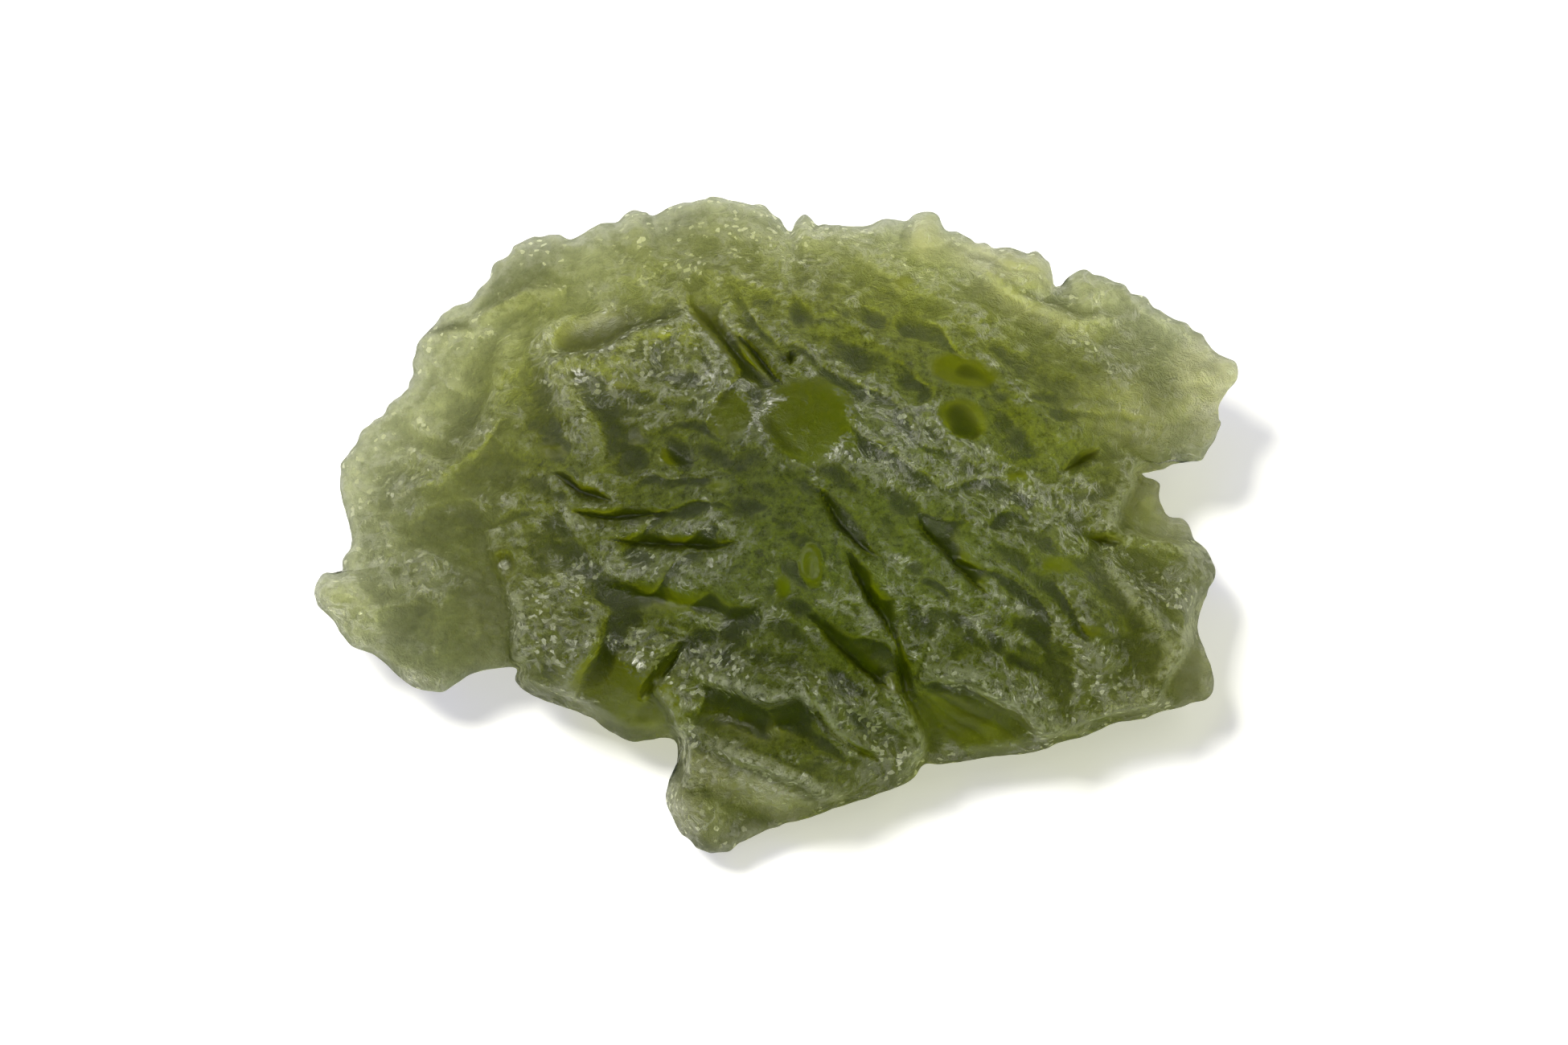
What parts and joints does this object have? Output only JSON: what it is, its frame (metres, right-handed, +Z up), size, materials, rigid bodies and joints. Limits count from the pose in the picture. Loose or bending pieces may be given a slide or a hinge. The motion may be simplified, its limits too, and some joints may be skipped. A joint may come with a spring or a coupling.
{
  "type": "raw moldavite",
  "caption": "Raw moldavite: a domed, pitted piece of see-through green natural glass with thin scalloped flanges and a blunt foot, resting on a small flat spot.",
  "frame": {"origin": "on the ground under the middle of the stone's bounding box", "axes": "+X along the stone's long side, +Y from the foot towards the far rim, +Z up from the flat spot"},
  "size_m": [0.03, 0.0226, 0.0078],
  "materials": {
    "natural_glass": "etched and satin over the body, smooth in the gouges and on the flanges"
  },
  "bodies": {
    "root": {"moldavite": "natural_glass"}
  },
  "joints": []
}
